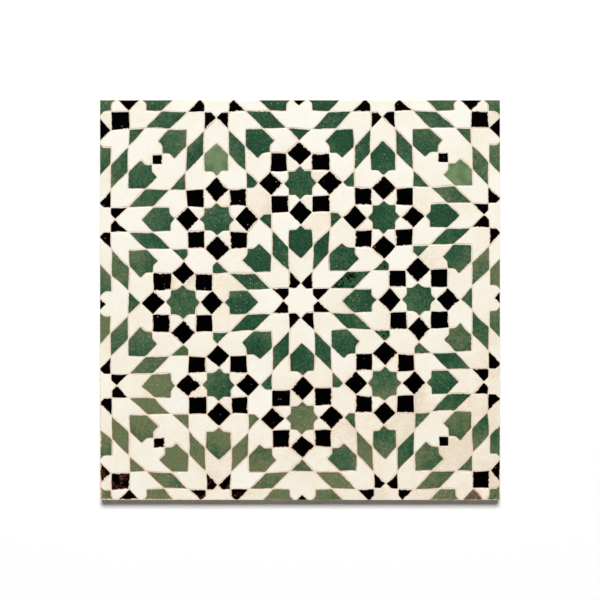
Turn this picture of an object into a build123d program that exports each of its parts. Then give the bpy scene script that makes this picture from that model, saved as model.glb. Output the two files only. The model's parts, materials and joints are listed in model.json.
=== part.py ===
from build123d import *
from math import hypot, sqrt
import os

# Driving dimensions, in millimetres and degrees
panel_side = 600.0
panel_thickness = 22.0
piece_thickness = 11.0
joint_width = 1.6
joint_recess = 0.4
undercut = 6.0
edge_trim = 1.7

# Grid of the pattern: every corner is a sum of half a star's square and half its diagonal
root2 = sqrt(2)
side = (panel_side / 2 + edge_trim) / (8 + 6 * root2)
tip = root2 * side
near = tip - side
far = tip + side
small = 2 * side - tip

# Centres of the white suns, the green rosettes and the small squares between rosettes
half_pattern = 8 * side + 6 * tip
ring_radius = 4 * side + 4 * tip
sun_offset = 4 * side + 2 * tip
sun_radius = hypot(half_pattern, sun_offset)
corner_radius = half_pattern * root2
face_plane = Plane.XY.offset(panel_thickness)

# Sawn outline of the panel, which cuts the pieces on its edge
with BuildPart() as blank:
    Box(panel_side, panel_side, 3 * panel_thickness)


def cut_piece(outline):
    """One tessera: glazed face up at the panel's face, flanks chipped back towards the clay side."""
    with BuildPart() as piece:
        with BuildSketch(face_plane):
            Polygon(*outline, align=None)
            offset(amount=-joint_width / 2, kind=Kind.INTERSECTION, mode=Mode.REPLACE)
        extrude(amount=-piece_thickness)
        draft(piece.faces().filter_by(Axis.Z, reverse=True), face_plane, -undercut)
    return piece.part


def mirrored(outline):
    """The same outline for the other hand, across the X axis."""
    return [(x, -y) for x, y in reversed(outline)]


def lay_round_suns(piece):
    """Eight copies round the middle sun and round each sun that an edge halves."""
    with PolarLocations(0, 8):
        add(piece)
    with PolarLocations(sun_radius, 8, start_angle=22.5, rotate=False):
        with PolarLocations(0, 8):
            add(piece)
    add(blank, mode=Mode.INTERSECT)


def lay_round_rosettes(piece):
    """Eight copies round each rosette of the ring and round each that a corner quarters."""
    with PolarLocations(ring_radius, 8):
        with PolarLocations(0, 8):
            add(piece)
    with PolarLocations(corner_radius, 4, start_angle=45):
        with PolarLocations(0, 8):
            add(piece)
    add(blank, mode=Mode.INTERSECT)


def lay_beside_small_squares(piece):
    """Two copies at each small square, one on either side."""
    with PolarLocations(half_pattern, 8):
        with PolarLocations(0, 2):
            add(piece)
    add(blank, mode=Mode.INTERSECT)


# Outlines round a sun or rosette centre at the origin, pointing along +X
star_point = [(tip, 0), (side, near), (side, side), (near, side)]
star_outline = star_point + [(-y, x) for x, y in star_point]
star_outline += [(-x, -y) for x, y in star_outline]
kite_outline = [(side, near), (tip, 0), (far, side), (side, side)]
square_outline = [(tip, 0), (far, -side), (2 * side + tip, 0), (far, side)]
chevron_outline = [
    (tip, 0),
    (far, -side),
    (3 * side + tip, -side),
    (2 * side + tip, 0),
    (3 * side + tip, side),
    (far, side),
]
lozenge_outline = [
    (far, side),
    (3 * side + tip, side),
    (3 * side + 2 * tip, far),
    (side + 2 * tip, far),
]
shield_outline = [
    (2 * side + tip, 0),
    (3 * side + tip, -side),
    (3 * side + 2 * tip, -side),
    (3 * side + 2 * tip, -near),
    (2 * side + 3 * tip, 0),
    (3 * side + 2 * tip, near),
    (3 * side + 2 * tip, side),
    (3 * side + tip, side),
]
hood_outline = [
    (side + 3 * tip, side),
    (side + 2 * tip, side),
    (side + 2 * tip, near),
    (2 * side + tip, 0),
    (far, side),
    (far, far),
    (side + 2 * tip, far),
]

# Outlines between two ring rosettes, round the panel's centre
octagon_outline = [
    (3 * side + 3 * tip, far),
    (3 * side + 4 * tip, far),
    (4 * side + 4 * tip, 2 * side + tip),
    (5 * side + 3 * tip, side + 2 * tip),
    (5 * side + 3 * tip, 3 * side + tip),
    (5 * side + 2 * tip, 3 * side + tip),
    (4 * side + 2 * tip, 2 * side + tip),
    (3 * side + 3 * tip, 3 * side),
]
inner_kite_outline = [
    (3 * side + 2 * tip, far),
    (3 * side + 3 * tip, far),
    (3 * side + 3 * tip, 3 * side),
    (4 * side + 2 * tip, 2 * side + tip),
]
outer_kite_outline = [
    (5 * side + 4 * tip, 3 * side + tip),
    (5 * side + 3 * tip, 3 * side + tip),
    (5 * side + 3 * tip, side + 2 * tip),
    (4 * side + 4 * tip, 2 * side + tip),
]

# Outlines round a small square, whose neighbours lie along X
small_square_outline = [(small, 0), (0, small), (-small, 0), (0, -small)]
claw_outline = [
    (-far, -side),
    (-side, -far),
    (-side, -side),
    (-near, -side),
    (0, -small),
    (-small, 0),
    (0, small),
    (-near, side),
    (-side, side),
    (-side, far),
    (-far, side),
]
triangle_outline = [(-2 * side - tip, 0), (-far, -side), (-far, side)]

# One finished tessera of each outline
star = cut_piece(star_outline)
kite = cut_piece(kite_outline)
square = cut_piece(square_outline)
chevron = cut_piece(chevron_outline)
lozenge = cut_piece(lozenge_outline)
shield = cut_piece(shield_outline)
hood = cut_piece(hood_outline)
other_hood = cut_piece(mirrored(hood_outline))
octagon = cut_piece(octagon_outline)
inner_kite = cut_piece(inner_kite_outline)
outer_kite = cut_piece(outer_kite_outline)
small_square = cut_piece(small_square_outline)
claw = cut_piece(claw_outline)
triangle = cut_piece(triangle_outline)

# White stars: one in the middle, the rest halved on the edges
with BuildPart() as white_stars:
    add(star)
    with PolarLocations(sun_radius, 8, start_angle=22.5, rotate=False):
        add(star)
    add(blank, mode=Mode.INTERSECT)

# Green stars: a ring of rosettes, and one quartered in each corner
with BuildPart() as green_stars:
    with PolarLocations(ring_radius, 8):
        add(star)
    with PolarLocations(corner_radius, 4, start_angle=45):
        add(star)
    add(blank, mode=Mode.INTERSECT)

# Black kites in the notches of the white stars
with BuildPart() as black_kites:
    lay_round_suns(kite)

# White kites in the notches of the green stars
with BuildPart() as white_kites:
    lay_round_rosettes(kite)

# Black squares on the points of the green stars
with BuildPart() as black_squares:
    lay_round_rosettes(square)

# White chevrons on the points of the white stars
with BuildPart() as white_chevrons:
    lay_round_suns(chevron)

# Green lozenges between two chevrons
with BuildPart() as green_lozenges:
    lay_round_suns(lozenge)

# Green shields that fill the tails of the chevrons
with BuildPart() as green_shields:
    lay_round_suns(shield)

# White hoods on both flanks of each shield that meets a rosette
with BuildPart() as white_hoods:
    with PolarLocations(ring_radius, 8):
        with Locations(Rot(Z=180), Rot(Z=45), Rot(Z=-45)):
            add(hood)
            add(other_hood)
    with PolarLocations(corner_radius, 4, start_angle=45):
        with Locations(Rot(Z=135), Rot(Z=-135)):
            add(hood)
            add(other_hood)
    add(blank, mode=Mode.INTERSECT)

# White octagons between two ring rosettes, with a green kite at both ends
with BuildPart() as white_octagons:
    with PolarLocations(0, 8):
        add(octagon)
with BuildPart() as green_kites:
    with PolarLocations(0, 8):
        add(inner_kite)
        add(outer_kite)

# Small black squares halfway between two rosettes
with BuildPart() as small_black_squares:
    with PolarLocations(half_pattern, 8):
        add(small_square)
    add(blank, mode=Mode.INTERSECT)

# White claws that close round a small square from two sides
with BuildPart() as white_claws:
    lay_beside_small_squares(claw)

# Green triangles between a claw and the nearest rosette
with BuildPart() as green_triangles:
    lay_beside_small_squares(triangle)

# Mortar bed, cast behind the pieces and up between their flanks
pieces = {
    "white_stars": white_stars,
    "green_stars": green_stars,
    "black_kites": black_kites,
    "white_kites": white_kites,
    "black_squares": black_squares,
    "white_chevrons": white_chevrons,
    "green_lozenges": green_lozenges,
    "green_shields": green_shields,
    "white_hoods": white_hoods,
    "white_octagons": white_octagons,
    "green_kites": green_kites,
    "small_black_squares": small_black_squares,
    "white_claws": white_claws,
    "green_triangles": green_triangles,
}
with BuildPart() as mortar_bed:
    Box(
        panel_side,
        panel_side,
        panel_thickness - joint_recess,
        align=(Align.CENTER, Align.CENTER, Align.MIN),
    )
    add([piece.part for piece in pieces.values()], mode=Mode.SUBTRACT)

os.makedirs("parts", exist_ok=True)
mortar_bed.part.label = "mortar_bed"
export_step(mortar_bed.part, "parts/mortar_bed.step")
for name, piece in pieces.items():
    piece.part.label = name
    export_step(piece.part, f"parts/{name}.step")
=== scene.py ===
import sys
import json
import logging
import math
from dataclasses import dataclass, field, replace
from enum import Enum
from typing import Any, Sequence

import bpy
import numpy as np
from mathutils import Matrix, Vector

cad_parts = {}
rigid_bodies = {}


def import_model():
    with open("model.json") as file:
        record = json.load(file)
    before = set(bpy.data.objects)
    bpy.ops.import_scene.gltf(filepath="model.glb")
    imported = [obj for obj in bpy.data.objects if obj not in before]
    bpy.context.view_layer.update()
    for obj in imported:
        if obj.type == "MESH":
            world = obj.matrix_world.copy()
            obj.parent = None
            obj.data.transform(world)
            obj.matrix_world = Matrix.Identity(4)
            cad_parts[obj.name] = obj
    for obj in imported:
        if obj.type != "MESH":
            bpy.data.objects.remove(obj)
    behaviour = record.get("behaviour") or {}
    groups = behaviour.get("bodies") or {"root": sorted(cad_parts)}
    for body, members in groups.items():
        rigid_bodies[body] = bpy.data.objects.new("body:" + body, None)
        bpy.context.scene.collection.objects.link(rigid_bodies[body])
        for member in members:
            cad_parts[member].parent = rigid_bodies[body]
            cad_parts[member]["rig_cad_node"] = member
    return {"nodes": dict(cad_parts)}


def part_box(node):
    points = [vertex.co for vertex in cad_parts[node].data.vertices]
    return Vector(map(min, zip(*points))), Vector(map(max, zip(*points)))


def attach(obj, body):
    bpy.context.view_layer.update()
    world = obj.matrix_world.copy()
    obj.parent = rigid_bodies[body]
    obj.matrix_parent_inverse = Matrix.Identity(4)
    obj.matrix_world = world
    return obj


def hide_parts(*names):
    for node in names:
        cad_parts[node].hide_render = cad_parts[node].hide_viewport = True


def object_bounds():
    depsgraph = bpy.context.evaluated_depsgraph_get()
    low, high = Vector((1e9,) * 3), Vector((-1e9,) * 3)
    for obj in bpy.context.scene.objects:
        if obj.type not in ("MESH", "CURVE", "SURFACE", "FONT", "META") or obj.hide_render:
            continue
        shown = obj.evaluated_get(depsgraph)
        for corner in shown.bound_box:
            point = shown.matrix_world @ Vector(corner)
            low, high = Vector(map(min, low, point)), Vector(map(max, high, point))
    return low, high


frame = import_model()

CAD_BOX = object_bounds()
LOG = logging.getLogger("mosaic")
MM = 0.001
PANEL_HALF = round(CAD_BOX[1][0] / MM, 3)
BED_NODE = "mortar_bed"

Colour = tuple[float, float, float, float]
Stops = Sequence[tuple[float, Colour]]
Socket = bpy.types.NodeSocket

# Scale, detail and spread of a cloud of soft patches
Patches = tuple[float, float, float]

# Scale of a scatter of spots, and their size in it
Scatter = tuple[float, float]


def srgb(red: int, green: int, blue: int) -> Colour:
    """A picture colour, each part from 0 to 255, as the linear colour that shaders take."""
    parts = [c / 255 for c in (red, green, blue)]
    return (*[c / 12.92 if c <= 0.04045 else ((c + 0.055) / 1.055) ** 2.4 for c in parts], 1.0)


def smoothstep(low: float, high: float, value: float) -> float:
    """Zero below low, one above high, and an even rise between them."""
    t = min(max((value - low) / (high - low), 0.0), 1.0)
    return t * t * (3 - 2 * t)


class Slot(str, Enum):
    """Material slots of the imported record."""

    WHITE = "white_glaze"
    GREEN = "green_glaze"
    BLACK = "black_glaze"
    MORTAR = "mortar"


class Trait(str, Enum):
    """Values that every point of a tessera carries for its finish."""

    LAYER = "layer"
    TONE = "tone"
    BATCH = "batch"
    FLAW = "flaw"
    PITTED = "pitted"


class Layer(float, Enum):
    """Height in the section of a tessera, from smeared mortar up to the open glaze."""

    SMEAR = -1.0
    CLAY = 0.0
    ARRIS = 1.0
    SHOULDER = 2.0
    FACE = 3.0


class Graph:
    """Short way to add and join nodes in one shader tree."""

    def __init__(self, tree: bpy.types.NodeTree) -> None:
        """Keeps the tree that the nodes go in."""
        self.tree = tree

    def feed(self, target: Socket, value: Any) -> None:
        """Joins a socket to an input, or sets the input to a plain value.

        Args:
            target: the input.
            value: an output socket or the plain value.
        """
        if isinstance(value, bpy.types.NodeSocket):
            self.tree.links.new(value, target)
        else:
            target.default_value = value

    def add(self, kind: str, inputs: dict[Any, Any] | None = None, **settings: Any) -> bpy.types.Node:
        """Adds a node, sets its properties and feeds its inputs.

        Args:
            kind: node type without the ShaderNode prefix.
            inputs: input name or number to a value or an output socket.
            settings: node properties.

        Returns:
            The new node.
        """
        node = self.tree.nodes.new("ShaderNode" + kind)
        for name, value in settings.items():
            setattr(node, name, value)
        for key, value in (inputs or {}).items():
            self.feed(node.inputs[key], value)
        return node

    def math(self, operation: str, *values: Any) -> Socket:
        """One arithmetic step on values or sockets."""
        return self.add("Math", dict(enumerate(values)), operation=operation).outputs[0]

    def noise(self, vector: Socket, scale: Any, detail: Any) -> Socket:
        """Noise from 0 to 1, mostly about the middle."""
        return self.add("TexNoise", {"Vector": vector, "Scale": scale, "Detail": detail}).outputs["Fac"]

    def ramp(self, value: Any, none: Any, full: Any) -> Socket:
        """Smooth way from 0 at none to 1 at full, which may be the lower of the two."""
        fields = {"Value": value, "From Min": none, "From Max": full}
        return self.add("MapRange", fields, interpolation_type="SMOOTHSTEP").outputs[0]

    def mix(self, factor: Any, first: Any, second: Any) -> Socket:
        """The first colour where the factor is 0, the second where it is 1."""
        return self.add("Mix", {0: factor, 6: first, 7: second}, data_type="RGBA").outputs[2]

    def tints(self, value: Socket, stops: Stops) -> Socket:
        """Colour along a row of stops.

        Args:
            value: place along the row, from 0 to 1.
            stops: each stop's place and colour, in order.

        Returns:
            The colour.
        """
        ramp = self.add("ValToRGB", {0: value})
        elements = ramp.color_ramp.elements
        while len(elements) < len(stops):
            elements.new(1.0)
        for element, (place, colour) in zip(elements, stops):
            element.position = place
            element.color = colour
        return ramp.outputs[0]

    def trait(self, name: Trait) -> Socket:
        """A tessera's own stored value."""
        return self.add("Attribute", attribute_name=name.value).outputs["Fac"]


class EffectGroup:
    """Shader node group with named sockets, built once and placed in several materials."""

    inputs: Sequence[str] = ("Vector",)
    output = "Mask"

    def __init__(self) -> None:
        """Makes the sockets and lets the effect fill the group."""
        self.tree = bpy.data.node_groups.new(type(self).__name__, "ShaderNodeTree")
        for label in self.inputs:
            kind = "NodeSocketVector" if label in ("Vector", "Place") else "NodeSocketFloat"
            self.tree.interface.new_socket(label, in_out="INPUT", socket_type=kind)
        self.tree.interface.new_socket(self.output, in_out="OUTPUT", socket_type="NodeSocketFloat")
        source = self.tree.nodes.new("NodeGroupInput")
        sink = self.tree.nodes.new("NodeGroupOutput")
        result = self.fill(Graph(self.tree), source.outputs)
        self.tree.links.new(result, sink.inputs[self.output])

    def fill(self, graph: Graph, given: Any) -> Socket:
        """Joins the effect's nodes and returns the socket to put out."""
        raise NotImplementedError

    def place(self, graph: Graph, *values: Any) -> Socket:
        """Puts the group in a material.

        Args:
            graph: the material's graph.
            values: one per input socket, in order.

        Returns:
            The group's output socket.
        """
        node = graph.tree.nodes.new("ShaderNodeGroup")
        node.node_tree = self.tree
        for label, value in zip(self.inputs, values, strict=True):
            graph.feed(node.inputs[label], value)
        return node.outputs[self.output]


class Cloud(EffectGroup):
    """Soft patches, from 0 to 1, at a given scale."""

    inputs = ("Vector", "Scale", "Detail", "Spread")

    def fill(self, graph: Graph, given: Any) -> Socket:
        """Stretches noise about its middle until a share of Spread on each side is left.

        Args:
            graph: the group's graph.
            given: the group's input sockets.

        Returns:
            The patches.
        """
        noise = graph.noise(given["Vector"], given["Scale"], given["Detail"])
        low = graph.math("SUBTRACT", 0.5, given["Spread"])
        high = graph.math("ADD", 0.5, given["Spread"])
        return graph.ramp(noise, low, high)


class ClayRim(EffectGroup):
    """Bare fired clay: the flanks, and the ragged rim where the hammer took the glaze."""

    inputs = ("Vector", "Layer", "Rim", "Ragged")
    grain = 420.0
    softness = 0.2

    def fill(self, graph: Graph, given: Any) -> Socket:
        """Finds where the layer, shaken by noise, is still under the rim.

        Args:
            graph: the group's graph.
            given: the group's input sockets.

        Returns:
            One on bare clay.
        """
        noise = graph.noise(given["Vector"], self.grain, 3.0)
        swing = graph.math("SUBTRACT", noise, 0.5)
        depth = graph.math("MULTIPLY_ADD", swing, given["Ragged"], given["Layer"])
        low = graph.math("SUBTRACT", given["Rim"], self.softness)
        high = graph.math("ADD", given["Rim"], self.softness)
        return graph.ramp(depth, high, low)


class Spots(EffectGroup):
    """Round pinholes or specks in a share of the cells of a scatter."""

    inputs = ("Vector", "Scale", "Share", "Size")
    smallest = 0.4
    solid = 0.45

    def fill(self, graph: Graph, given: Any) -> Socket:
        """Draws a spot in each chosen cell, of a size that differs from cell to cell.

        Args:
            graph: the group's graph.
            given: the group's input sockets.

        Returns:
            One inside a spot.
        """
        scatter = {key: given[key] for key in ("Vector", "Scale")}
        cells = graph.add("TexVoronoi", scatter, voronoi_dimensions="2D")
        draw = graph.add("SeparateColor", {0: cells.outputs["Color"]})
        chosen = graph.math("LESS_THAN", draw.outputs[0], given["Share"])
        reach = graph.math("MULTIPLY", given["Size"], graph.math("ADD", draw.outputs[1], self.smallest))
        inner = graph.math("MULTIPLY", reach, self.solid)
        spot = graph.ramp(cells.outputs["Distance"], reach, inner)
        return graph.math("MULTIPLY", chosen, spot)


class SawMarks(EffectGroup):
    """Faint level streaks that the blade leaves on a sawn side."""

    stretch = (35.0, 35.0, 1300.0)
    seen = (0.4, 0.65)

    def fill(self, graph: Graph, given: Any) -> Socket:
        """Draws noise out along the panel's edges.

        Args:
            graph: the group's graph.
            given: the group's input sockets.

        Returns:
            The streaks, from 0 to 1.
        """
        drawn = graph.add("VectorMath", {0: given["Vector"], 1: self.stretch}, operation="MULTIPLY")
        return graph.ramp(graph.noise(drawn.outputs[0], 1.0, 3.0), *self.seen)


class SawnChips(EffectGroup):
    """Glaze broken away along the sawn border, most of all in the two lower corners."""

    inputs = ("Place", "Vector", "Half", "Least", "Most")
    grain = 210.0
    ragged = (0.35, 0.7)
    shallowest = 0.25
    solid = 0.7
    right_start = 1.5
    right_share = 0.5

    def fill(self, graph: Graph, given: Any) -> Socket:
        """Finds where the distance to the border is less than a ragged reach.

        Args:
            graph: the group's graph.
            given: the group's input sockets.

        Returns:
            One where the glaze is gone.
        """
        across, up, _ = graph.add("SeparateXYZ", {0: given["Place"]}).outputs
        wide = graph.math("MAXIMUM", graph.math("ABSOLUTE", across), graph.math("ABSOLUTE", up))
        inside = graph.math("SUBTRACT", given["Half"], wide)
        corner = graph.math("MULTIPLY", given["Half"], 2.0)
        left = graph.math("MULTIPLY", graph.math("ADD", across, up), -1.0)
        right = graph.math("SUBTRACT", across, up)
        start = graph.math("MULTIPLY", given["Half"], self.right_start)
        less = graph.math("MULTIPLY", graph.ramp(right, start, corner), self.right_share)
        worn = graph.math("MAXIMUM", graph.ramp(left, given["Half"], corner), less)
        rough = graph.ramp(graph.noise(given["Vector"], self.grain, 4.0), *self.ragged)
        extra = graph.math("MULTIPLY", graph.math("SUBTRACT", given["Most"], given["Least"]), worn)
        widest = graph.math("ADD", given["Least"], extra)
        reach = graph.math("MULTIPLY", widest, graph.math("ADD", rough, self.shallowest))
        edge = graph.math("MULTIPLY", reach, self.solid)
        return graph.ramp(inside, reach, edge)


@dataclass(frozen=True)
class Effects:
    """The node groups that the finishes share."""

    cloud: Cloud
    clay_rim: ClayRim
    spots: Spots
    saw_marks: SawMarks
    sawn_chips: SawnChips


@dataclass(frozen=True)
class Ground:
    """What a finish is painted on: a graph, the shared effects and the coordinates of the patterns."""

    graph: Graph
    effects: Effects
    where: Socket

    def cloud(self, patches: Patches) -> Socket:
        """Soft patches, from 0 to 1."""
        return self.effects.cloud.place(self.graph, self.where, *patches)

    def spots(self, scatter: Scatter, share: Socket) -> Socket:
        """One inside the spots that a share of the cells holds."""
        scale, size = scatter
        return self.effects.spots.place(self.graph, self.where, scale, share, size)

    def saw_marks(self) -> Socket:
        """Streaks of the saw, from 0 to 1."""
        return self.effects.saw_marks.place(self.graph, self.where)


def new_material(name: str) -> tuple[bpy.types.Material, Graph, bpy.types.Node]:
    """An empty node material.

    Args:
        name: the material's name.

    Returns:
        The material, its graph and its Principled node.
    """
    material = bpy.data.materials.new(name)
    material.use_nodes = True
    return material, Graph(material.node_tree), material.node_tree.nodes["Principled BSDF"]


@dataclass(frozen=True)
class MortarFinish:
    """Pale lime mortar: close to the white glaze in tone, matt and sandy."""

    light: Colour = srgb(243, 236, 221)
    dark: Colour = srgb(224, 208, 185)
    grain: Colour = srgb(150, 126, 100)
    stains: Patches = (26.0, 4.0, 0.22)
    sand: Patches = (1100.0, 3.0, 0.2)
    grit: Patches = (520.0, 1.0, 0.03)
    relief: Patches = (900.0, 4.0, 0.3)
    roughness: float = 0.9
    sand_depth: float = 0.3

    def colour(self, ground: Ground) -> Socket:
        """Cream with broad darker stains, fine sand and a little grit.

        Args:
            ground: what the finish is painted on.

        Returns:
            The colour.
        """
        graph = ground.graph
        stain = ground.cloud(self.stains)
        sand = ground.cloud(self.sand)
        shade = graph.math("MULTIPLY_ADD", sand, 0.35, graph.math("MULTIPLY", stain, 0.55))
        lime = graph.mix(shade, self.light, self.dark)
        grit = ground.cloud(self.grit)
        grit = graph.math("MULTIPLY", graph.ramp(grit, 0.985, 1.0), 0.3)
        drawn = graph.math("MULTIPLY", ground.saw_marks(), grit)
        return graph.mix(drawn, lime, self.grain)

    def material(self, effects: Effects) -> bpy.types.Material:
        """Builds the finish.

        Args:
            effects: the shared node groups.

        Returns:
            The material.
        """
        material, graph, shader = new_material(Slot.MORTAR.value)
        ground = Ground(graph, effects, graph.add("TexCoord").outputs["Object"])
        graph.feed(shader.inputs["Base Color"], self.colour(ground))
        shader.inputs["Roughness"].default_value = self.roughness
        sand = ground.cloud(self.relief)
        bump = graph.add("Bump", {"Height": sand, "Strength": 0.4, "Distance": self.sand_depth * MM})
        graph.feed(shader.inputs["Normal"], bump.outputs[0])
        return material


@dataclass(frozen=True)
class Glaze:
    """What the three glazes share: clay under the rim, smeared mortar, gloss and a rippled face."""

    slot: Slot
    rim: float
    ragged: float
    gloss: float
    ripple: float
    shading: float
    low_rim: float = 1.25
    clay_light: Colour = srgb(210, 160, 124)
    clay_dark: Colour = srgb(166, 108, 78)
    chipped: Colour = srgb(229, 200, 171)
    clay_grain: Patches = (700.0, 4.0, 0.2)
    clay_firing: Patches = (60.0, 3.0, 0.2)
    dulling: Patches = (90.0, 2.0, 0.3)
    dulled: float = 0.06
    ripple_scale: float = 130.0
    ripple_depth: float = 0.4
    pores: Scatter = (620.0, 0.3)
    smeared: tuple[float, float] = (-0.1, -0.45)
    clay_roughness: float = 0.88
    least_chip: float = 0.4
    most_chip: float = 2.6
    apart: tuple[float, float, float] = (3.7, 9.1, 5.3)
    mortar: MortarFinish = MortarFinish()

    def batch(self, x: float, y: float, rng: np.random.Generator) -> float:
        """Kiln batch of the piece at x, y, both from -1 to 1."""
        raise NotImplementedError

    def pitted(self, x: float, y: float, rng: np.random.Generator) -> bool:
        """Whether the glaze of the piece at x, y has burst into pits, whose shade is painted dark."""
        return False

    def flaw(self, rng: np.random.Generator) -> float:
        """How specked a piece is, from 0 to 1."""
        return float(rng.beta(1.0, 7.0))

    def colour(self, ground: Ground) -> Socket:
        """Colour of the glaze alone."""
        raise NotImplementedError

    def clay(self, ground: Ground, grain: Socket) -> Socket:
        """Colour of the bare clay, unevenly fired and streaked by the saw.

        Args:
            ground: what the finish is painted on.
            grain: the clay's fine grain.

        Returns:
            The colour.
        """
        graph = ground.graph
        clay = graph.mix(grain, self.clay_dark, self.clay_light)
        fired = ground.cloud(self.clay_firing)
        streaks = graph.math("MULTIPLY", ground.saw_marks(), 0.3)
        return graph.mix(graph.math("MULTIPLY_ADD", fired, 0.3, streaks), clay, self.clay_dark)

    def roughness(self, ground: Ground, matt: Socket) -> Socket:
        """Roughness of the glaze, and of what lies bare.

        Args:
            ground: what the finish is painted on.
            matt: one where the glaze is gone or covered.

        Returns:
            The roughness.
        """
        graph = ground.graph
        dull = ground.cloud(self.dulling)
        smooth = graph.math("MULTIPLY_ADD", dull, self.dulled, self.gloss)
        return graph.math("MULTIPLY_ADD", matt, graph.math("SUBTRACT", self.clay_roughness, smooth), smooth)

    def relief(self, ground: Ground, coarse: Socket) -> Socket:
        """Ripples and pores of the glaze, and the grain of what lies bare.

        Args:
            ground: what the finish is painted on.
            coarse: the grain, only where the glaze is gone or covered.

        Returns:
            The normal.
        """
        graph = ground.graph
        wave = graph.noise(ground.where, self.ripple_scale, 2.0)
        pore = ground.spots(self.pores, graph.trait(Trait.FLAW))
        height = graph.math("MULTIPLY_ADD", pore, -0.6, wave)
        height = graph.math("MULTIPLY_ADD", coarse, 0.5, height)
        depth = self.ripple_depth * MM
        return graph.add("Bump", {"Height": height, "Strength": self.ripple, "Distance": depth}).outputs[0]

    def material(self, effects: Effects) -> bpy.types.Material:
        """Builds the finish, with patterns that lie elsewhere on each piece.

        Args:
            effects: the shared node groups.

        Returns:
            The material.
        """
        material, graph, shader = new_material(self.slot.value)
        place = graph.add("TexCoord").outputs["Object"]
        tone = graph.trait(Trait.TONE)
        shift = graph.add("VectorMath", {0: self.apart, "Scale": tone}, operation="SCALE").outputs[0]
        where = graph.add("VectorMath", {0: place, 1: shift}, operation="ADD").outputs[0]
        ground = Ground(graph, effects, where)
        layer = graph.trait(Trait.LAYER)
        up = graph.add("SeparateXYZ", {0: place}).outputs[1]
        low = graph.ramp(up, 0.0, -PANEL_HALF * MM)
        rim = graph.math("MULTIPLY_ADD", low, self.low_rim, self.rim)
        bare = effects.clay_rim.place(graph, where, layer, rim, self.ragged)
        grain = ground.cloud(self.clay_grain)
        clay = self.clay(ground, grain)
        colour = graph.mix(bare, self.colour(ground), clay)
        reach = (self.least_chip * MM, self.most_chip * MM)
        chips = effects.sawn_chips.place(graph, place, where, PANEL_HALF * MM, *reach)
        colour = graph.mix(chips, colour, self.chipped)
        smear = graph.ramp(layer, *self.smeared)
        colour = graph.mix(smear, colour, self.mortar.colour(ground))
        matt = graph.math("MAXIMUM", graph.math("MAXIMUM", bare, chips), smear)
        coarse = graph.math("MULTIPLY", matt, grain)
        graph.feed(shader.inputs["Base Color"], colour)
        graph.feed(shader.inputs["Roughness"], self.roughness(ground, matt))
        graph.feed(shader.inputs["Normal"], self.relief(ground, coarse))
        return material


@dataclass(frozen=True)
class WhiteGlaze(Glaze):
    """Warm white glaze, each piece a little creamier, pinker or greyer."""

    odd_share: float = 0.05
    odd_step: float = 0.4
    corner_step: float = 0.26
    spread: float = 0.15
    clouds: Patches = (70.0, 4.0, 0.25)
    mottle: Patches = (520.0, 3.0, 0.18)
    creams: Stops = (
        (0.0, srgb(251, 248, 238)),
        (0.4, srgb(248, 243, 228)),
        (0.75, srgb(246, 235, 215)),
        (1.0, srgb(234, 219, 196)),
    )
    pits: Scatter = (420.0, 0.26)
    pit: Colour = srgb(176, 140, 104)

    def batch(self, x: float, y: float, rng: np.random.Generator) -> float:
        """Warmer towards the bottom right, with a few clearly darker pieces.

        Args:
            x: place across the panel, from -1 to 1.
            y: place up the panel, from -1 to 1.
            rng: the piece's own source of variation.

        Returns:
            The batch, from 0 for cream to 1 for beige.
        """
        odd = self.odd_step * (rng.uniform() < self.odd_share)
        corner = self.corner_step * smoothstep(0.5, 1.5, x - y)
        return 0.4 - 0.1 * y + corner + odd + float(rng.normal(0.0, self.spread))

    def colour(self, ground: Ground) -> Socket:
        """Cream that goes beige with the batch, faintly clouded, with rare brown pits.

        Args:
            ground: what the finish is painted on.

        Returns:
            The colour.
        """
        graph = ground.graph
        soft = ground.cloud(self.clouds)
        fine = ground.cloud(self.mottle)
        swing = graph.math("SUBTRACT", graph.math("MULTIPLY_ADD", fine, 1.5, soft), 1.25)
        shade = graph.math("MULTIPLY_ADD", swing, 0.25, graph.trait(Trait.BATCH))
        cream = graph.tints(shade, self.creams)
        share = graph.math("MULTIPLY", graph.trait(Trait.FLAW), 0.14)
        hole = ground.spots(self.pits, share)
        return graph.mix(graph.math("MULTIPLY", hole, 0.5), cream, self.pit)


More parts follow.
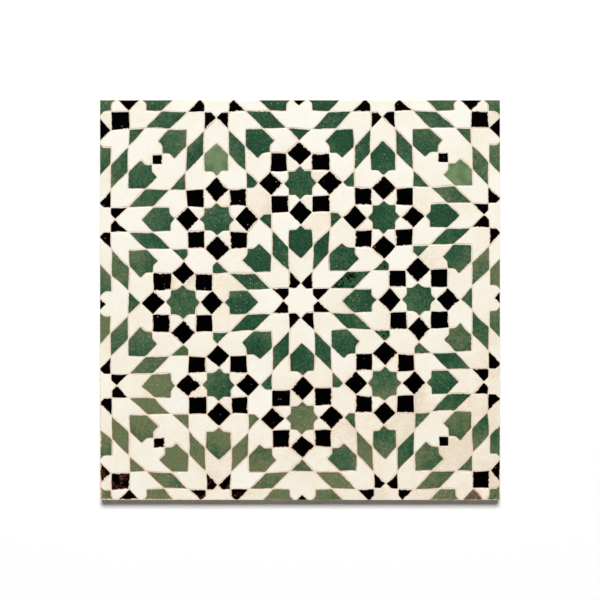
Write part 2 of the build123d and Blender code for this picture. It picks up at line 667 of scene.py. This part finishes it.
@dataclass(frozen=True)
class GreenGlaze(Glaze):
    """Copper green glaze: deep where it lies thick, olive where it is thin, with pale specks."""

    deeper: float = 0.0
    spread: float = 0.14
    pit_share: float = 0.3
    patches: Patches = (60.0, 4.0, 0.22)
    mottle: Patches = (240.0, 5.0, 0.14)
    thicker: Patches = (430.0, 4.0, 0.1)
    thinner: Patches = (540.0, 3.0, 0.1)
    bursts: Patches = (75.0, 1.0, 0.1)
    dusting: Scatter = (700.0, 0.34)
    specks: Scatter = (300.0, 0.2)
    pits: Scatter = (300.0, 0.75)
    palest: tuple[float, float] = (0.955, 0.975)
    greens: Stops = (
        (0.0, srgb(18, 63, 45)),
        (0.2, srgb(37, 78, 55)),
        (0.5, srgb(68, 95, 68)),
        (0.78, srgb(103, 112, 78)),
        (1.0, srgb(116, 121, 86)),
    )
    thick: Colour = srgb(26, 56, 40)
    thin: Colour = srgb(98, 136, 95)
    washed: Colour = srgb(134, 156, 112)
    dust: Colour = srgb(140, 150, 96)
    speck: Colour = srgb(206, 204, 160)
    # Painted shade: the near-black shade inside the glaze pits, which the relief doesn't cut
    pit: Colour = srgb(3, 9, 6)

    def batch(self, x: float, y: float, rng: np.random.Generator) -> float:
        """Deep in the middle, paler to the sides and olive towards the lower left.

        Args:
            x: place across the panel, from -1 to 1.
            y: place up the panel, from -1 to 1.
            rng: the piece's own source of variation.

        Returns:
            The batch, from 0 for deep green to 1 for olive.
        """
        olive = smoothstep(0.1, 0.75, -y - 0.2 * x)
        deep = 0.06 + 0.6 * x * x + 0.15 * x * y
        level = (1 - olive) * deep + olive * (0.88 - 0.2 * x) - self.deeper
        return level + float(rng.normal(0.0, self.spread))

    def pitted(self, x: float, y: float, rng: np.random.Generator) -> bool:
        """True for some of the pieces in the middle and to the right of it."""
        return math.hypot(x - 0.15, y - 0.1) < 0.65 and rng.uniform() < self.pit_share

    def colour(self, ground: Ground) -> Socket:
        """Deep green to olive in patches, mottled, specked pale, and pitted, with the shade in the pits
        painted near-black.

        Args:
            ground: what the finish is painted on.

        Returns:
            The colour.
        """
        graph = ground.graph
        patch = ground.cloud(self.patches)
        fine = ground.cloud(self.mottle)
        level = graph.trait(Trait.BATCH)
        for swing, reach in ((patch, 0.28), (fine, 0.26)):
            level = graph.math("MULTIPLY_ADD", graph.math("SUBTRACT", swing, 0.5), reach, level)
        tint = graph.tints(level, self.greens)
        for patches, most, colour in ((self.thicker, 0.3, self.thick), (self.thinner, 0.22, self.thin)):
            share = graph.math("MULTIPLY", ground.cloud(patches), most)
            tint = graph.mix(share, tint, colour)
        pale = graph.ramp(graph.trait(Trait.TONE), *self.palest)
        washed = graph.math("MULTIPLY", pale, graph.math("MULTIPLY_ADD", patch, 0.45, 0.35))
        tint = graph.mix(washed, tint, self.washed)
        flaw = graph.trait(Trait.FLAW)
        share = graph.math("MULTIPLY_ADD", flaw, 0.5, 0.06)
        dust = ground.spots(self.dusting, share)
        tint = graph.mix(graph.math("MULTIPLY", dust, 0.35), tint, self.dust)
        share = graph.math("MINIMUM", graph.math("SUBTRACT", flaw, 0.08), 0.12)
        speck = ground.spots(self.specks, share)
        tint = graph.mix(graph.math("MULTIPLY", speck, 0.75), tint, self.speck)
        burst = ground.cloud(self.bursts)
        share = graph.math("MULTIPLY_ADD", burst, 0.45, 0.08)
        share = graph.math("MULTIPLY", graph.trait(Trait.PITTED), share)
        # Painted shade: the pits are coloured near-black for the shade inside them, with no depth in the
        # relief
        hole = ground.spots(self.pits, share)
        return graph.mix(hole, tint, self.pit)


@dataclass(frozen=True)
class BlackGlaze(Glaze):
    """Manganese black glaze, worn to brown clay in places."""

    patches: Patches = (75.0, 3.0, 0.16)
    crumbs: Patches = (380.0, 5.0, 0.09)
    pits: Scatter = (300.0, 0.2)
    bare_through: tuple[float, float] = (0.975, 0.985)
    sound: Colour = (0.0006, 0.0005, 0.0005, 1.0)
    worn: Colour = srgb(96, 58, 48)
    through: Colour = srgb(122, 106, 88)
    pit: Colour = srgb(198, 176, 156)

    def batch(self, x: float, y: float, rng: np.random.Generator) -> float:
        """Worn towards the lower left and the bottom edge, and hardly anywhere else."""
        worn = smoothstep(0.55, 1.15, -0.75 * y - 0.5 * x)
        return 0.5 * worn * float(rng.uniform(0.4, 1.0)) + 0.12 * float(rng.beta(1.0, 6.0))

    def colour(self, ground: Ground) -> Socket:
        """Black with mottled brown wear, a rare piece worn through, and a few pale pits.

        Args:
            ground: what the finish is painted on.

        Returns:
            The colour.
        """
        graph = ground.graph
        patch = ground.cloud(self.patches)
        crumbs = ground.cloud(self.crumbs)
        reach = graph.math("MULTIPLY_ADD", patch, 0.5, graph.trait(Trait.BATCH))
        worn = graph.math("MULTIPLY", graph.ramp(reach, 0.6, 0.9), crumbs)
        dark = graph.mix(worn, self.sound, self.worn)
        through = graph.ramp(graph.trait(Trait.TONE), *self.bare_through)
        through = graph.math("MULTIPLY", through, graph.math("MULTIPLY_ADD", crumbs, 0.45, 0.5))
        dark = graph.mix(through, dark, self.through)
        share = graph.math("MULTIPLY", graph.trait(Trait.FLAW), 0.06)
        hole = ground.spots(self.pits, share)
        return graph.mix(graph.math("MULTIPLY", hole, 0.8), dark, self.pit)


@dataclass(frozen=True)
class HandCut:
    """How the cutter's hammer and the setter's hand leave the pieces of a colour, in mm."""

    inset: float
    wobble: float
    bow: float
    bite_chance: float
    bite_depth: float
    tip_radius: float
    notch_radius: float = 5.0
    blunted: tuple[float, float] = (0.35, 1.0)
    waves: tuple[float, ...] = (8.0, 15.0, 33.0)
    roughness: float = 0.35
    blow_length: tuple[float, float] = (2.4, 5.0)
    long_edge: float = 24.0
    step: float = 2.4
    fine_step: float = 0.8
    outward: float = 0.4
    clear: float = 1.5
    shift: float = 0.2
    turn: float = 0.005
    tilt: float = 0.003


@dataclass(frozen=True)
class Laying:
    """How the rows have drifted from the drawn pattern, and how high the joints are struck, in mm."""

    right: tuple[float, float, float] = (1.7, 0.3, -2.6)
    up: tuple[float, float, float] = (-1.5, 4.4, -1.0)
    waves: Sequence[tuple[float, float]] = (
        (230, 0.6),
        (150, 0.5),
        (90, 0.45),
        (62, 0.4),
        (47, 0.35),
        (38, 0.3),
    )
    border: float = 18.0
    struck: float = 0.17
    seed: int = 5

    def drift(self, flat: np.ndarray) -> np.ndarray:
        """Lets the whole pattern drift slowly, inside a border that keeps its line.

        Args:
            flat: places in mm.

        Returns:
            The places after the drift.
        """
        u, v = flat.T / PANEL_HALF
        level = np.stack([np.ones_like(u), u, v])
        move = np.stack([(1 - u * u) * (self.right @ level), (1 - v * v) * (self.up @ level)], axis=1)
        return flat + move

    def stray(self, flat: np.ndarray) -> np.ndarray:
        """Lets each joint stray a little, and then drift with the pattern.

        Args:
            flat: places in mm.

        Returns:
            The places after both.
        """
        rng = np.random.default_rng(self.seed)
        move = np.zeros_like(flat)
        for length, size in self.waves:
            for axis in (0, 1):
                heading, phase = rng.uniform(0.0, 2 * np.pi, 2)
                run = flat @ np.array([np.cos(heading), np.sin(heading)])
                move[:, axis] += size * np.sin(2 * np.pi * run / length + phase)
        fade = np.clip((PANEL_HALF - np.abs(flat)) / self.border, 0.0, 1.0)
        return self.drift(flat + move * fade)


class Outline:
    """Face outline of one tessera, as edges with inward normals."""

    saw_reach = 0.01
    least_turn = 0.05
    least_left = 0.1

    def __init__(self, corners: np.ndarray) -> None:
        """Works out the edges, and which of them were sawn with the panel.

        Args:
            corners: corners in mm, anticlockwise seen from the glazed side.
        """
        self.corners = self.without_slivers(corners)
        along = np.roll(self.corners, -1, axis=0) - self.corners
        self.lengths = np.hypot(along[:, 0], along[:, 1])
        self.along = along / self.lengths[:, None]
        self.normals = np.stack([-self.along[:, 1], self.along[:, 0]], axis=1)
        ends = np.stack([self.corners, np.roll(self.corners, -1, axis=0)])
        self.sawn = (np.abs(ends) > PANEL_HALF - self.saw_reach).all(axis=0).any(axis=1)
        self.sawn_corner = self.sawn | np.roll(self.sawn, 1)

    @staticmethod
    def without_slivers(corners: np.ndarray, least: float = 1.0) -> np.ndarray:
        """Joins the ends of any edge that is too short to cut by hand.

        Args:
            corners: corners in mm.
            least: the shortest edge that stays, in mm.

        Returns:
            The corners that are left.
        """
        points = list(corners)
        i = 0
        while i < len(points) and len(points) > 3:
            j = (i + 1) % len(points)
            if np.hypot(*(points[j] - points[i])) < least:
                points[i] = (points[i] + points[j]) / 2
                del points[j]
            else:
                i += 1
        return np.array(points)

    def moved(self, depth: np.ndarray) -> np.ndarray:
        """Moves each edge inwards.

        Args:
            depth: how far each edge moves, in mm.

        Returns:
            The corners after the move.
        """
        corners = []
        for i, corner in enumerate(self.corners):
            pair = np.stack([self.normals[i - 1], self.normals[i]])
            if abs(np.linalg.det(pair)) < self.least_turn:
                corners.append(corner + self.normals[i] * depth[i])
            else:
                corners.append(corner + np.linalg.solve(pair, np.array([depth[i - 1], depth[i]])))
        return np.array(corners)

    def inside(self, depth: float, sawn_depth: float) -> np.ndarray:
        """Corners of the outline drawn in, as far as its shortest edge allows.

        Args:
            depth: inwards from the edges cut by hand, in mm.
            sawn_depth: inwards from the edges sawn with the panel, in mm.

        Returns:
            The new corners.
        """
        full = np.where(self.sawn, sawn_depth, depth)
        for share in (1.0, 0.75, 0.5, 0.3, 0.1):
            corners = self.moved(full * share)
            run = np.roll(corners, -1, axis=0) - corners
            if ((run * self.along).sum(axis=1) > self.least_left * self.lengths).all():
                return corners
        return self.corners


class HammeredEdge:
    """One outline divided into points, with the bows, waves, bites and blunt corners of cutting."""

    def __init__(self, outline: Outline, cut: HandCut, rng: np.random.Generator) -> None:
        """Divides the edges, finely where they are bitten, and draws the marks.

        Args:
            outline: the face outline.
            cut: the cutter's habits.
            rng: the piece's own source of variation.
        """
        self.outline = outline
        edges = len(outline.corners)
        bitten = (rng.uniform(size=edges) < cut.bite_chance) & ~outline.sawn
        steps = np.where(bitten, cut.fine_step, cut.step)
        counts = np.maximum(4, np.round(outline.lengths / steps)).astype(int)
        even = np.concatenate([np.arange(count) / count for count in counts])
        self.first = np.concatenate([[0], np.cumsum(counts)])
        self.edge = np.repeat(np.arange(edges), counts)
        self.share = 0.5 * even + 0.25 * (1 - np.cos(np.pi * even))
        self.marks = self.straying(cut, bitten, rng) + self.blunting(cut, rng)
        self.marks[outline.sawn[self.edge]] = 0.0
        self.on_saw = outline.sawn[self.edge] | (outline.sawn_corner[self.edge] & (self.share == 0.0))

    def straying(self, cut: HandCut, bitten: np.ndarray, rng: np.random.Generator) -> np.ndarray:
        """How far each point strays from its straight edge.

        Args:
            cut: the cutter's habits.
            bitten: which edges are scalloped.
            rng: the piece's own source of variation.

        Returns:
            One offset per point, fading out at the corners.
        """
        lengths = self.outline.lengths
        run = self.share * lengths[self.edge]
        place = run + np.concatenate([[0.0], np.cumsum(lengths)])[self.edge]
        depth = rng.normal(0.0, cut.bow, len(lengths))[self.edge] * np.sin(np.pi * self.share)
        for wave in cut.waves:
            depth += cut.wobble * rng.normal() * np.sin(2 * np.pi * place / wave + rng.uniform(0, 2 * np.pi))
        depth += rng.normal(0.0, cut.roughness * cut.wobble, len(place))
        for edge in np.flatnonzero(bitten):
            on = self.edge == edge
            beats = run[on] / rng.uniform(*cut.blow_length) + rng.uniform()
            blow = rng.uniform(0.05, 1.0, int(beats.max()) + 1)[beats.astype(int)]
            middle, spread = rng.uniform(0.2, 0.8), rng.uniform(0.3, 0.7)
            reach = np.exp(-(((self.share[on] - middle) / spread) ** 4))
            most = cut.bite_depth * min(1.0, lengths[edge] / cut.long_edge)
            depth[on] += most * blow * reach * np.sin(np.pi * (beats % 1.0)) ** 0.7
        left = np.minimum(run, lengths[self.edge] - run)
        depth = np.maximum(depth, -cut.outward) * np.clip(left / cut.clear, 0.0, 1.0)
        return self.outline.normals[self.edge] * depth[:, None]

    def blunting(self, cut: HandCut, rng: np.random.Generator) -> np.ndarray:
        """Rounds off the tips, and fills the notches that a hammer can't cut sharp.

        Args:
            cut: the cutter's habits.
            rng: the piece's own source of variation.

        Returns:
            One offset per point near a corner, nothing elsewhere.
        """
        along, lengths = self.outline.along, self.outline.lengths
        before = np.roll(along, 1, axis=0)
        turn = before[:, 0] * along[:, 1] - before[:, 1] * along[:, 0]
        radius = np.where(turn > 0, cut.tip_radius, cut.notch_radius) * rng.uniform(*cut.blunted, len(along))
        radius = np.minimum(radius, 0.45 * np.minimum(lengths, np.roll(lengths, 1)))
        radius = np.where(self.outline.sawn_corner, 1e-6, radius)
        bend = along - before
        run = self.share * lengths[self.edge]
        offset = np.zeros((len(run), 2))
        for corner, far in ((self.edge, run), ((self.edge + 1) % len(along), lengths[self.edge] - run)):
            pull = radius[corner] / 4 * np.clip(1 - far / radius[corner], 0.0, 1.0) ** 2
            offset += bend[corner] * pull[:, None]
        return offset

    def ring(self, corners: np.ndarray, marked: float) -> np.ndarray:
        """Points between corners, with the hammer's marks.

        Args:
            corners: corners in mm, one per corner of the outline.
            marked: share of the marks that shows.

        Returns:
            The points in mm.
        """
        ahead = np.roll(corners, -1, axis=0)
        straight = corners[self.edge] + (ahead - corners)[self.edge] * self.share[:, None]
        return straight + self.marks * marked


@dataclass(frozen=True)
class Section:
    """One level in a tessera's section: its depth inside the outline and its height, in mm."""

    layer: Layer
    depth: float
    sawn_depth: float
    marked: float
    drop: float


@dataclass(frozen=True)
class Levels:
    """Heights of a packed family in mm, and the inward run of its undercut flanks for each mm of depth."""

    heel: float
    face: float
    mortar: float
    slope: float

    @classmethod
    def read(cls, node: str) -> "Levels":
        """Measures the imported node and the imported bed.

        Args:
            node: the family's node.

        Returns:
            The family's levels.
        """
        low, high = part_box(node)
        normals = [polygon.normal for polygon in frame["nodes"][node].data.polygons]
        slopes = [-n.z / math.hypot(n.x, n.y) for n in normals if -0.9 < n.z < -0.01]
        return cls(low.z / MM, high.z / MM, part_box(BED_NODE)[1].z / MM, float(np.median(slopes)))


@dataclass
class MeshParts:
    """Points, faces and traits of the tesserae joined so far."""

    points: list[np.ndarray] = field(default_factory=list)
    faces: list[tuple[int, ...]] = field(default_factory=list)
    smooth: list[bool] = field(default_factory=list)
    traits: dict[Trait, list[np.ndarray]] = field(default_factory=lambda: {trait: [] for trait in Trait})
    count: int = 0

    def ring(self, flat: np.ndarray, height: Any, traits: dict[Trait, Any]) -> int:
        """Adds a ring of points.

        Args:
            flat: places in mm.
            height: height in mm, one for all points or one for each.
            traits: values for the finish, each for all points or for each.

        Returns:
            Number of the ring's first point.
        """
        first = self.count
        self.points.append(np.column_stack([flat, np.broadcast_to(height, len(flat))]))
        for trait, value in traits.items():
            self.traits[trait].append(np.broadcast_to(value, len(flat)))
        self.count += len(flat)
        return first

    def face(self, corners: Sequence[int], smooth: bool = False) -> None:
        """Adds a face."""
        self.faces.append(tuple(corners))
        self.smooth.append(smooth)

    def strip(self, low: int, high: int, size: int, smooth: bool) -> None:
        """Adds the faces between two rings of the same size.

        Args:
            low: first point of the lower ring.
            high: first point of the upper ring.
            size: points in each ring.
            smooth: whether the faces are shaded smooth.
        """
        for i in range(size):
            j = (i + 1) % size
            self.face((low + i, low + j, high + j, high + i), smooth)

    def mesh(self, name: str) -> bpy.types.Mesh:
        """Makes the mesh in metres, with its traits stored on the points.

        Args:
            name: the mesh's name.

        Returns:
            The mesh.
        """
        mesh = bpy.data.meshes.new(name)
        mesh.from_pydata((np.concatenate(self.points) * MM).tolist(), [], self.faces)
        mesh.polygons.foreach_set("use_smooth", self.smooth)
        for trait, values in self.traits.items():
            stored = mesh.attributes.new(trait.value, "FLOAT", "POINT")
            stored.data.foreach_set("value", np.concatenate(values).astype(np.float32))
        return mesh


@dataclass
class Tesserae:
    """All tesserae of one shape and colour, joined in one mesh that stands for their node."""

    node: str
    glaze: Glaze
    cut: HandCut
    seed: int
    laying: Laying = Laying()
    seat: float = 0.25
    lip: float = 0.03
    arris: float = 0.12
    shoulder: float = 0.04
    deepest_set: float = 0.06

    def outlines(self, face: float) -> list[np.ndarray]:
        """Reads the glazed faces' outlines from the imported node.

        Args:
            face: height of the glazed faces in mm.

        Returns:
            One array of corners in mm for each tessera, anticlockwise.
        """
        mesh = frame["nodes"][self.node].data
        edges = set()
        for polygon in mesh.polygons:
            corners = [mesh.vertices[i].co / MM for i in polygon.vertices]
            if min(corner.z for corner in corners) > face - 0.01:
                keys = [(round(corner.x, 3), round(corner.y, 3)) for corner in corners]
                edges.update(zip(keys, keys[1:] + keys[:1]))
        ahead = {start: end for start, end in edges if (end, start) not in edges}
        loops = []
        while ahead:
            loop = [min(ahead)]
            while (end := ahead.pop(loop[-1])) != loop[0]:
                loop.append(end)
            loops.append(np.array(loop))
        return loops

    def lay(self, parts: MeshParts, corners: np.ndarray, levels: Levels, rng: np.random.Generator) -> None:
        """Cuts one tessera and adds it to the joined mesh.

        Args:
            parts: the mesh so far.
            corners: the tessera's face outline in mm.
            levels: its heights.
            rng: its own source of variation.
        """
        cut, outline = self.cut, Outline(corners)
        middle = outline.corners.mean(axis=0)
        x, y = middle / PANEL_HALF
        tone = float(rng.uniform())
        pitted = float(self.glaze.pitted(float(x), float(y), rng))
        flaw = self.glaze.flaw(rng)
        batch = self.glaze.batch(float(x), float(y), rng)
        shading = rng.normal(0.0, self.glaze.shading, 2)
        edge = HammeredEdge(outline, cut, rng)
        size = len(edge.share)
        whole = not outline.sawn.any()
        shift = rng.normal(0.0, cut.shift, 2) * whole
        turn = rng.normal(0.0, cut.turn) * whole
        lean = rng.normal(0.0, cut.tilt, 2)
        sunk = rng.uniform(0.0, self.deepest_set)
        inset = cut.inset * rng.uniform(0.6, 1.5)
        mortar = levels.mortar + self.laying.struck

        def traits(flat: np.ndarray, layer: Any) -> dict[Trait, Any]:
            """Values for the finish.

            Args:
                flat: places in mm.
                layer: height in the section, one for all places or one for each.

            Returns:
                Each trait's value.
            """
            shade = batch + (flat - middle) @ shading
            own = {Trait.TONE: tone, Trait.FLAW: flaw, Trait.PITTED: pitted}
            return {Trait.LAYER: layer, Trait.BATCH: shade, **own}

        behind = self.laying.drift(outline.inside((levels.face - levels.heel) * levels.slope, 0.0))
        sides = len(behind)
        heel = parts.ring(behind, levels.heel, traits(behind, Layer.CLAY.value))
        parts.face(range(heel + sides - 1, heel - 1, -1))

        seat = mortar - self.seat
        seated = self.laying.drift(edge.ring(outline.inside((levels.face - seat) * levels.slope, 0.0), 0.0))
        smeared = np.where(edge.on_saw, Layer.CLAY.value, Layer.SMEAR.value)
        below = parts.ring(seated, seat, traits(seated, smeared))
        for side in range(sides):
            run = [below + i % size for i in range(edge.first[side + 1], edge.first[side] - 1, -1)]
            parts.face([heel + side, heel + (side + 1) % sides] + run)

        for section in (
            Section(Layer.CLAY, inset - 0.1, sawn_depth=0.0, marked=0.93, drop=levels.face - mortar),
            Section(Layer.ARRIS, inset, sawn_depth=0.0, marked=1.0, drop=self.arris),
            Section(Layer.SHOULDER, inset + 0.22, sawn_depth=0.15, marked=1.0, drop=self.shoulder),
            Section(Layer.FACE, inset + 0.75, sawn_depth=0.6, marked=0.9, drop=0.0),
        ):
            flat = edge.ring(outline.inside(section.depth, section.sawn_depth), section.marked)
            flat = flat + shift + turn * (flat - middle) @ np.array([[0.0, 1.0], [-1.0, 0.0]])
            level = levels.face - sunk - section.drop + (flat - middle) @ lean
            lowest = mortar + self.lip * (1 + section.layer.value)
            level = np.minimum(np.maximum(level, lowest), levels.face)
            flat = np.clip(self.laying.stray(flat), -PANEL_HALF, PANEL_HALF)
            above = parts.ring(flat, level, traits(flat, section.layer.value))
            parts.strip(below, above, size, section.layer is not Layer.CLAY)
            below = above
        parts.face(range(below, below + size))

    def build(self) -> bpy.types.Object:
        """Makes the joined mesh and seats it on the frame in place of its node.

        Returns:
            The finished piece.
        """
        parts, levels = MeshParts(), Levels.read(self.node)
        for index, corners in enumerate(self.outlines(levels.face)):
            self.lay(parts, corners, levels, np.random.default_rng([self.seed, index]))
        piece = bpy.data.objects.new(self.node + "_cut", parts.mesh(self.node + "_cut"))
        bpy.context.scene.collection.objects.link(piece)
        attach(piece, "root")
        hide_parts(self.node)
        return piece


@dataclass
class MortarBed:
    """The cast bed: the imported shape, whose pockets have drifted with the pattern."""

    node: str = BED_NODE
    laying: Laying = Laying()
    merge: float = 1e-6

    def build(self) -> bpy.types.Object:
        """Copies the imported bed, merges the copy and moves its pockets under the tesserae.

        Returns:
            The finished piece.
        """
        node = frame["nodes"][self.node]
        bpy.ops.object.select_all(action="DESELECT")
        node.select_set(True)
        bpy.context.view_layer.objects.active = node
        bpy.ops.object.duplicate()
        piece = bpy.context.object
        piece.name = piece.data.name = self.node + "_cast"
        del piece["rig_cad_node"]
        bpy.ops.object.mode_set(mode="EDIT")
        bpy.ops.mesh.select_all(action="SELECT")
        bpy.ops.mesh.remove_doubles(threshold=self.merge)
        bpy.ops.object.mode_set(mode="OBJECT")
        bpy.ops.object.shade_flat()
        places = np.empty(3 * len(piece.data.vertices))
        piece.data.vertices.foreach_get("co", places)
        places = places.reshape(-1, 3)
        places[:, :2] = self.laying.drift(places[:, :2] / MM) * MM
        places[places[:, 2] > places[:, 2].max() - self.merge, 2] += self.laying.struck * MM
        piece.data.vertices.foreach_set("co", places.ravel())
        piece.data.update()
        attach(piece, "root")
        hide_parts(self.node)
        return piece


@dataclass
class Studio:
    """Floor, soft light and the camera that looks straight down on the panel, in metres."""

    floor_side: float = 40.0
    floor_white: float = 0.99
    camera_height: float = 3.0
    picture_pixels: int = 600
    panel_pixels: int = 400
    dome: float = 0.14
    cap: tuple[float, float] = (0.93, 0.8)
    key_power: float = 3080.0
    key_size: tuple[float, float] = (6.5, 5.5)
    key_place: tuple[float, float, float] = (0.0, 8.0, 14.8)

    def floor(self) -> None:
        """A plain pale floor under the panel."""
        bpy.ops.object.select_all(action="DESELECT")
        bpy.ops.mesh.primitive_plane_add(size=self.floor_side, location=(0, 0, 0))
        plane = bpy.context.object
        plane.name = "floor"
        material, _, shader = new_material("floor_white")
        shader.inputs["Base Color"].default_value = (*[self.floor_white] * 3, 1.0)
        shader.inputs["Roughness"].default_value = 0.9
        shader.inputs["Specular IOR Level"].default_value = 0.0
        plane.data.materials.append(material)

    def key(self) -> None:
        """A softbox beyond the top edge, so that the shadow falls below the bottom edge."""
        light = bpy.data.lights.new("key", "AREA")
        light.shape = "RECTANGLE"
        light.size, light.size_y = self.key_size
        light.energy = self.key_power
        lamp = bpy.data.objects.new("key", light)
        lamp.location = self.key_place
        lamp.rotation_euler = (-Vector(self.key_place)).to_track_quat("-Z", "Y").to_euler()
        bpy.context.scene.collection.objects.link(lamp)

    def surround(self) -> None:
        """An even pale dome with a dark cap, which the level glaze would otherwise mirror."""
        world = bpy.data.worlds.new("studio")
        world.use_nodes = True
        graph = Graph(world.node_tree)
        axes = graph.add("SeparateXYZ", {0: graph.add("TexCoord").outputs["Generated"]})
        open_sky = graph.ramp(axes.outputs[2], *self.cap)
        background = world.node_tree.nodes["Background"]
        background.inputs["Color"].default_value = (1.0, 1.0, 1.0, 1.0)
        graph.feed(background.inputs["Strength"], graph.math("MULTIPLY", open_sky, self.dome))
        bpy.context.scene.world = world

    def camera(self) -> None:
        """Straight down, with the panel as large in the picture as in the photograph."""
        lens = bpy.data.cameras.new("camera")
        wide = 2 * PANEL_HALF * MM * self.picture_pixels / self.panel_pixels
        lens.lens = lens.sensor_width * self.camera_height / wide
        eye = bpy.data.objects.new("camera", lens)
        eye.location = Vector((0.0, 0.0, CAD_BOX[1][2] + self.camera_height))
        bpy.context.scene.collection.objects.link(eye)
        bpy.context.scene.camera = eye

    def build(self) -> None:
        """Sets the whole stage."""
        self.floor()
        self.key()
        self.surround()
        self.camera()
        bpy.context.scene.view_settings.view_transform = "Standard"
        LOG.info("studio: set")


WHITE = WhiteGlaze(Slot.WHITE, rim=0.5, ragged=0.6, gloss=0.1, ripple=0.25, shading=0.004, low_rim=0.4)
GREEN = GreenGlaze(Slot.GREEN, rim=1.4, ragged=2.0, gloss=0.1, ripple=0.3, shading=0.008)
SMALL_GREEN = replace(GREEN, deeper=0.12)
BLACK = BlackGlaze(Slot.BLACK, rim=1.1, ragged=2.0, gloss=0.05, ripple=0.12, shading=0.006)
WHITE_CUT = HandCut(inset=0.08, wobble=0.09, bow=0.15, bite_chance=0.05, bite_depth=0.6, tip_radius=2.2)
GREEN_CUT = HandCut(inset=-0.1, wobble=0.12, bow=0.25, bite_chance=0.15, bite_depth=1.2, tip_radius=2.6)
BLACK_CUT = HandCut(inset=-0.42, wobble=0.14, bow=0.2, bite_chance=0.55, bite_depth=2.0, tip_radius=2.4)
FAMILIES = (
    Tesserae("white_stars", WHITE, WHITE_CUT, 196601),
    Tesserae("green_stars", GREEN, GREEN_CUT, 36693),
    Tesserae("black_kites", BLACK, BLACK_CUT, 17),
    Tesserae("white_kites", WHITE, WHITE_CUT, 8371),
    Tesserae("black_squares", BLACK, BLACK_CUT, 118),
    Tesserae("white_chevrons", WHITE, WHITE_CUT, 11282),
    Tesserae("green_lozenges", GREEN, GREEN_CUT, 1569),
    Tesserae("green_shields", GREEN, GREEN_CUT, 431893),
    Tesserae("white_hoods", WHITE, WHITE_CUT, 8321),
    Tesserae("white_octagons", WHITE, WHITE_CUT, 118622),
    Tesserae("green_kites", SMALL_GREEN, GREEN_CUT, 1363),
    Tesserae("small_black_squares", BLACK, BLACK_CUT, 22),
    Tesserae("white_claws", WHITE, WHITE_CUT, 122),
    Tesserae("green_triangles", SMALL_GREEN, GREEN_CUT, 45491),
)


def dress(piece: bpy.types.Object, material: bpy.types.Material) -> None:
    """Gives a piece its finish and reports it.

    Args:
        piece: the tesserae of a family, or the bed.
        material: their glaze, or its mortar.
    """
    piece.data.materials.clear()
    piece.data.materials.append(material)
    piece.data.calc_loop_triangles()
    LOG.info("%s: %d triangles", piece.name, len(piece.data.loop_triangles))


def main() -> None:
    """Builds the mosaic, the bed and the stage in order."""
    logging.basicConfig(level=logging.INFO, format="%(message)s", stream=sys.stdout)
    effects = Effects(Cloud(), ClayRim(), Spots(), SawMarks(), SawnChips())
    glazes = {glaze.slot: glaze.material(effects) for glaze in (WHITE, GREEN, BLACK)}
    for family in FAMILIES:
        dress(family.build(), glazes[family.glaze.slot])
    dress(MortarBed().build(), MortarFinish().material(effects))
    Studio().build()


if __name__ == "__main__":
    main()
